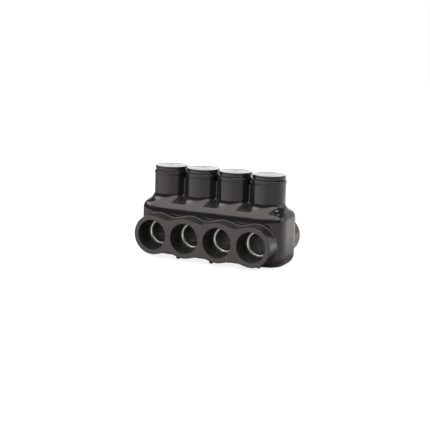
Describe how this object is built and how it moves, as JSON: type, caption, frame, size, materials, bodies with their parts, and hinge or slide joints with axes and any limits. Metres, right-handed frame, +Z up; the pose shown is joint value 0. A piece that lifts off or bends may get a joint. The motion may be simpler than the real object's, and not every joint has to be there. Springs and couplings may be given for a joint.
{
  "type": "insulated multi-tap connector",
  "caption": "Insulated power cable connector: a drilled aluminium block in a glossy black moulded cover, open at front and rear, with set screws under push-in plugs.",
  "frame": {"origin": "centre of the footprint, on the surface that the connector stands on", "axes": "+Z up along the chimneys, X along the row of ports, -Y out of the front ports"},
  "size_m": [0.1306, 0.0666, 0.0748],
  "materials": {
    "cover": "black plastisol, glossy skin, dull cut collar faces",
    "block": "machined, with a yellow-green film of joint compound in the bores",
    "screw": "turned and threaded",
    "plug": "black, satin to glossy"
  },
  "bodies": {
    "connector": {"insulating_cover": "cover", "connector_block": "block"},
    "screw_1": {"set_screw_1": "screw"},
    "screw_2": {"set_screw_2": "screw"},
    "screw_3": {"set_screw_3": "screw"},
    "screw_4": {"set_screw_4": "screw"},
    "plug_1": {"access_plug_1": "plug"},
    "plug_2": {"access_plug_2": "plug"},
    "plug_3": {"access_plug_3": "plug"},
    "plug_4": {"access_plug_4": "plug"}
  },
  "joints": [
    {"name": "screw_1_travel", "type": "slide", "parent": "connector", "child": "screw_1", "axis": [0, 0, 1], "range_m": [-0.0155, 0.009]},
    {"name": "screw_2_travel", "type": "slide", "parent": "connector", "child": "screw_2", "axis": [0, 0, 1], "range_m": [-0.0155, 0.009]},
    {"name": "screw_3_travel", "type": "slide", "parent": "connector", "child": "screw_3", "axis": [0, 0, 1], "range_m": [-0.0155, 0.009]},
    {"name": "screw_4_travel", "type": "slide", "parent": "connector", "child": "screw_4", "axis": [0, 0, 1], "range_m": [-0.0155, 0.009]},
    {"name": "plug_1_lift", "type": "slide", "parent": "connector", "child": "plug_1", "axis": [0, 0, 1], "range_m": [0, 0.012]},
    {"name": "plug_2_lift", "type": "slide", "parent": "connector", "child": "plug_2", "axis": [0, 0, 1], "range_m": [0, 0.012]},
    {"name": "plug_3_lift", "type": "slide", "parent": "connector", "child": "plug_3", "axis": [0, 0, 1], "range_m": [0, 0.012]},
    {"name": "plug_4_lift", "type": "slide", "parent": "connector", "child": "plug_4", "axis": [0, 0, 1], "range_m": [0, 0.012]}
  ]
}
